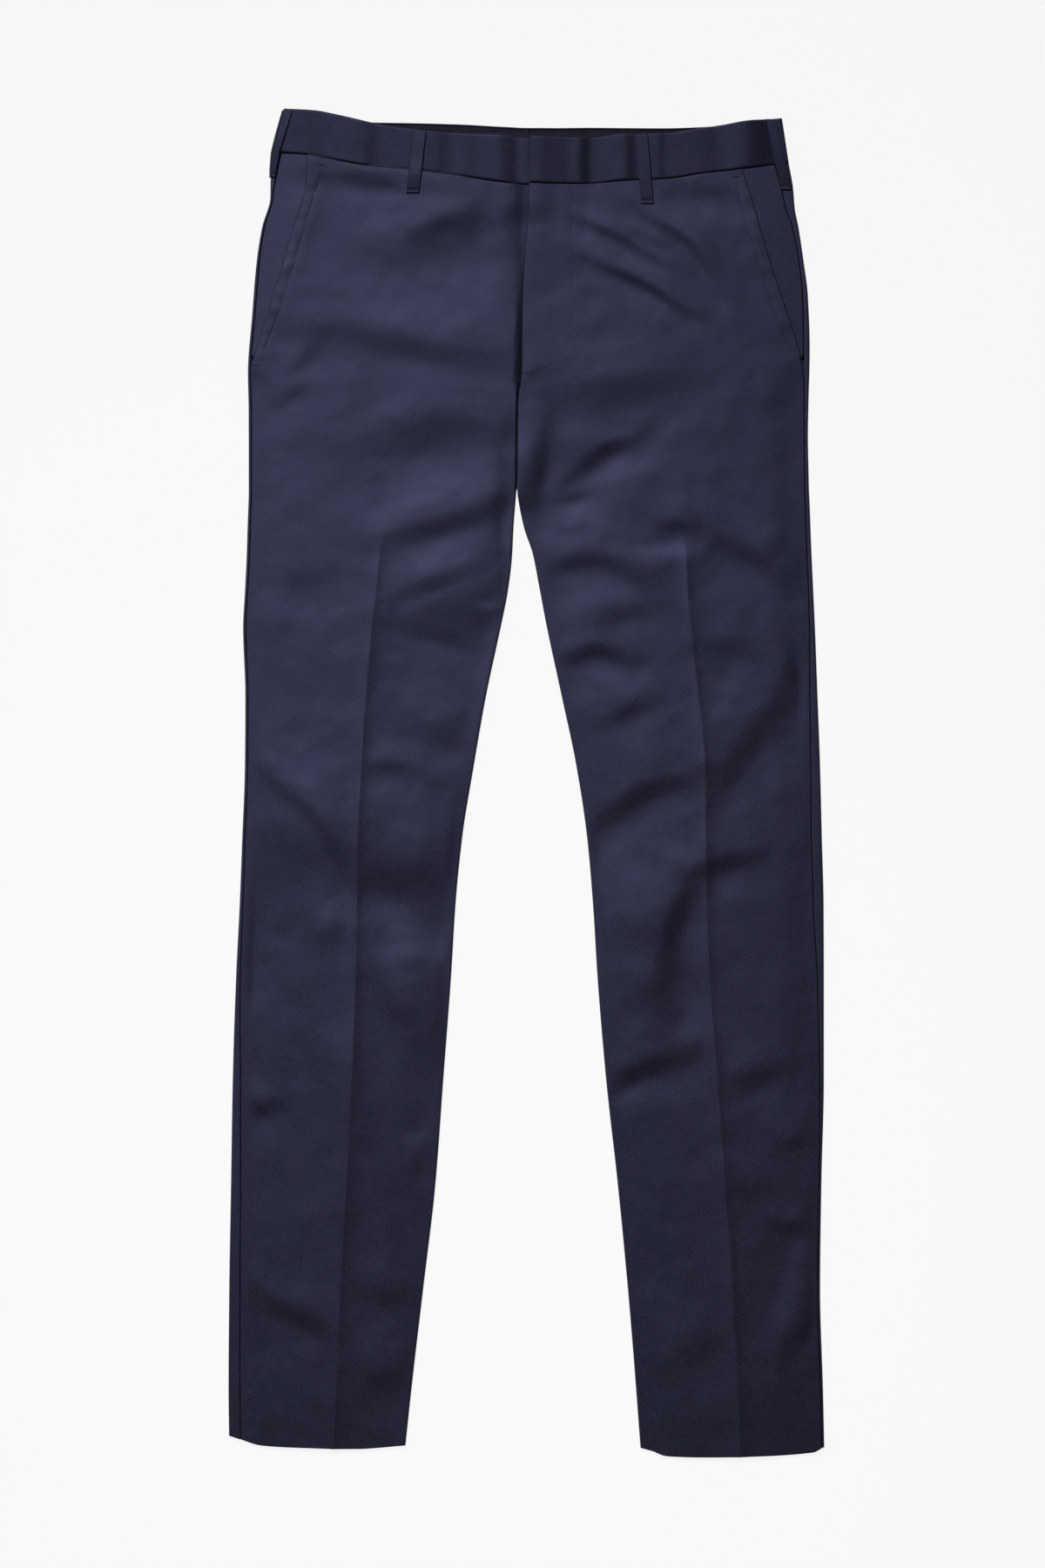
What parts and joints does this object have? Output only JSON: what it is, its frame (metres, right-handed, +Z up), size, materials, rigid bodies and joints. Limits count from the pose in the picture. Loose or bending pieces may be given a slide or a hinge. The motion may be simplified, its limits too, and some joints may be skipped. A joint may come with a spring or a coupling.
{
  "type": "dress trousers laid flat",
  "caption": "Flat-front dress trousers of navy cloth, laid flat with the front up: pressed leg creases, slanted pockets, fly and waistband with belt loops.",
  "frame": {"origin": "middle of the bounding box on the surface that the trousers lie on", "axes": "+Z up out of the front, +Y towards the waist, +X towards the wearer's left leg"},
  "size_m": [0.5099, 1.1539, 0.007],
  "materials": {
    "trouser_cloth": "fine navy cotton sateen, matt with a soft sheen",
    "waistband_cloth": "fine navy cotton sateen over a firm interlining",
    "zip_tape": "dark woven tape",
    "hook_metal": "nickel-plated pressed steel"
  },
  "bodies": {
    "root": {"front_right": "trouser_cloth", "front_left": "trouser_cloth", "back_right": "trouser_cloth", "back_left": "trouser_cloth", "pocket_facing_right": "trouser_cloth", "pocket_facing_left": "trouser_cloth", "waistband_right": "waistband_cloth", "waistband_left": "waistband_cloth", "belt_loop_front_right": "waistband_cloth", "belt_loop_front_left": "waistband_cloth", "belt_loop_side_right": "waistband_cloth", "belt_loop_side_left": "waistband_cloth", "belt_loop_back": "waistband_cloth", "fly_zip": "zip_tape", "waist_hook": "hook_metal"}
  },
  "joints": []
}
